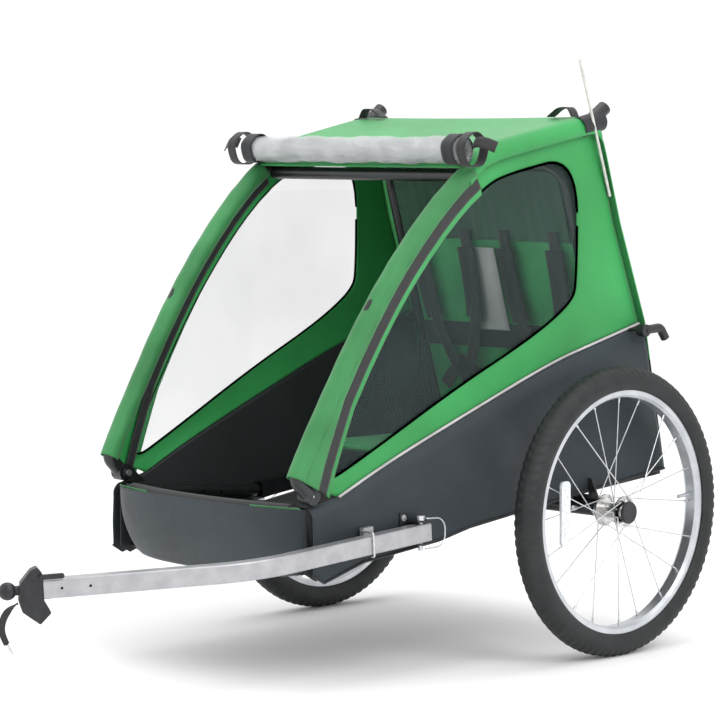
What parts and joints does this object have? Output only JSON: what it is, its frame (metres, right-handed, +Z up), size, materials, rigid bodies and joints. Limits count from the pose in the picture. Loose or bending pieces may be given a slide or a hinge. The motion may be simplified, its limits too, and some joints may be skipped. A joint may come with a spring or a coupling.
{
  "type": "child bicycle trailer",
  "caption": "Child bicycle trailer with cloth cabin, folding cage, spoked wheels, swing-away tow arm and hitch.",
  "frame": {"origin": "on the ground, under the middle of the overall box", "axes": "+Z up, -Y towards the nose and hitch, +X towards the trailer's left"},
  "size_m": [0.7908, 1.3519, 1.0269],
  "materials": {
    "tyre_rubber": "matt",
    "rim_silver": "satin",
    "spoke_steel": "satin",
    "hub_chrome": "polished",
    "reflector_clear": "gloss",
    "black_plastic": "matt",
    "frame_black": "satin",
    "zinc_steel": "satin",
    "arm_silver": "satin",
    "green_cloth": "matt",
    "slate_cloth": "matt",
    "clear_film": "gloss",
    "black_webbing": "matt",
    "rod_white": "gloss"
  },
  "bodies": {
    "base": {"axle_tube": "frame_black", "axle_stubs": "spoke_steel", "axle_brackets": "frame_black", "floor_rail_left": "frame_black", "floor_rail_right": "frame_black", "front_hoop": "frame_black", "rear_cross_tube": "frame_black", "seat_cross_tube": "frame_black", "pivot_brackets": "frame_black", "frame_bolts": "zinc_steel", "lower_side_left": "slate_cloth", "lower_side_right": "slate_cloth", "nose_panel": "slate_cloth", "floor_sheet": "slate_cloth", "seat_base": "slate_cloth", "rear_cover": "green_cloth", "tow_brackets": "frame_black", "side_panel_left": "green_cloth", "side_panel_right": "green_cloth", "window_left": "clear_film", "window_right": "clear_film"},
    "cage": {"arch_tube_left": "frame_black", "arch_tube_right": "frame_black", "roof_cross_tubes": "frame_black", "arch_sleeve_left": "green_cloth", "arch_sleeve_right": "green_cloth", "roof_cover": "green_cloth", "cover_roll": "clear_film", "roll_straps": "black_webbing", "webbing_loops": "black_webbing", "flag_rod": "rod_white"},
    "seat_back": {"back_frame": "frame_black", "back_panel": "green_cloth", "harness_left": "black_webbing", "harness_right": "black_webbing", "lever_posts": "frame_black"},
    "fold_lever_left": {"fold_lever_left": "black_plastic"},
    "fold_lever_right": {"fold_lever_right": "black_plastic"},
    "tow_arm": {"tow_arm": "arm_silver", "hitch_block": "black_plastic", "safety_strap": "black_webbing", "strap_hook": "zinc_steel"},
    "lock_pin": {"lock_pin": "zinc_steel"},
    "pin_bail": {"pin_bail": "zinc_steel"},
    "wire_clip": {"wire_clip": "zinc_steel"},
    "lock_lever": {"lock_lever": "black_plastic"},
    "hitch_knob": {"hitch_knob": "black_plastic"},
    "wheel_left": {"tyre_left": "tyre_rubber", "rim_left": "rim_silver", "spokes_left": "spoke_steel", "hub_left": "hub_chrome", "reflector_left": "reflector_clear"},
    "button_left": {"release_button_left": "black_plastic"},
    "wheel_right": {"tyre_right": "tyre_rubber", "rim_right": "rim_silver", "spokes_right": "spoke_steel", "hub_right": "hub_chrome", "reflector_right": "reflector_clear"},
    "button_right": {"release_button_right": "black_plastic"}
  },
  "joints": [
    {"name": "cage_fold", "type": "hinge", "parent": "base", "child": "cage", "pos_m": [0, -0.18, 0.318], "axis": [-1, 0, 0], "range_deg": [0, 35], "deforming": ["side_panel_left", "side_panel_right", "window_left", "window_right", "lower_side_left", "lower_side_right", "rear_cover"]},
    {"name": "back_fold", "type": "hinge", "parent": "base", "child": "seat_back", "pos_m": [0, 0.596, 0.348], "axis": [1, 0, 0], "range_deg": [0, 57]},
    {"name": "wheel_spin_left", "type": "hinge", "parent": "base", "child": "wheel_left", "pos_m": [0.36075, 0.426, 0.25], "axis": [1, 0, 0], "continuous": true},
    {"name": "button_press_left", "type": "slide", "parent": "wheel_left", "child": "button_left", "axis": [-1, 0, 0], "range_m": [0, 0.003], "stiffness_N_per_m": 400},
    {"name": "lever_turn_left", "type": "hinge", "parent": "seat_back", "child": "fold_lever_left", "pos_m": [0.31632, 0.551, 0.554], "axis": [1, 0, 0], "range_deg": [0, 60]},
    {"name": "wheel_spin_right", "type": "hinge", "parent": "base", "child": "wheel_right", "pos_m": [-0.36075, 0.426, 0.25], "axis": [1, 0, 0], "continuous": true},
    {"name": "button_press_right", "type": "slide", "parent": "wheel_right", "child": "button_right", "axis": [1, 0, 0], "range_m": [0, 0.003], "stiffness_N_per_m": 400},
    {"name": "lever_turn_right", "type": "hinge", "parent": "seat_back", "child": "fold_lever_right", "pos_m": [-0.31632, 0.551, 0.554], "axis": [1, 0, 0], "range_deg": [0, 60]},
    {"name": "arm_swing", "type": "hinge", "parent": "base", "child": "tow_arm", "pos_m": [0.2865, 0.024, 0.244], "axis": [0, 0, 1], "range_deg": [0, 90]},
    {"name": "pin_lift", "type": "slide", "parent": "base", "child": "lock_pin", "axis": [0, 0, 1], "range_m": [0, 0.05]},
    {"name": "bail_turn", "type": "hinge", "parent": "lock_pin", "child": "pin_bail", "pos_m": [0.2865, 0.024, 0.269], "axis": [1, 0, 0], "range_deg": [0, 110]},
    {"name": "clip_turn", "type": "hinge", "parent": "tow_arm", "child": "wire_clip", "pos_m": [0.2695, -0.08416, 0.25786], "axis": [0, -0.9978, -0.0663], "range_deg": [0, 100]},
    {"name": "lock_turn", "type": "hinge", "parent": "tow_arm", "child": "lock_lever", "pos_m": [0.09913, -0.6199, 0.22126], "axis": [0.8333, -0.5528, 0], "range_deg": [0, 90]},
    {"name": "knob_turn", "type": "hinge", "parent": "tow_arm", "child": "hitch_knob", "pos_m": [0.0712, -0.662, 0.19844], "axis": [-0.5519, -0.8321, -0.0553], "range_deg": [-30, 30]}
  ],
  "couplings": [
    {"joint": "back_fold", "follows": "cage_fold", "ratio": 1.6286}
  ]
}
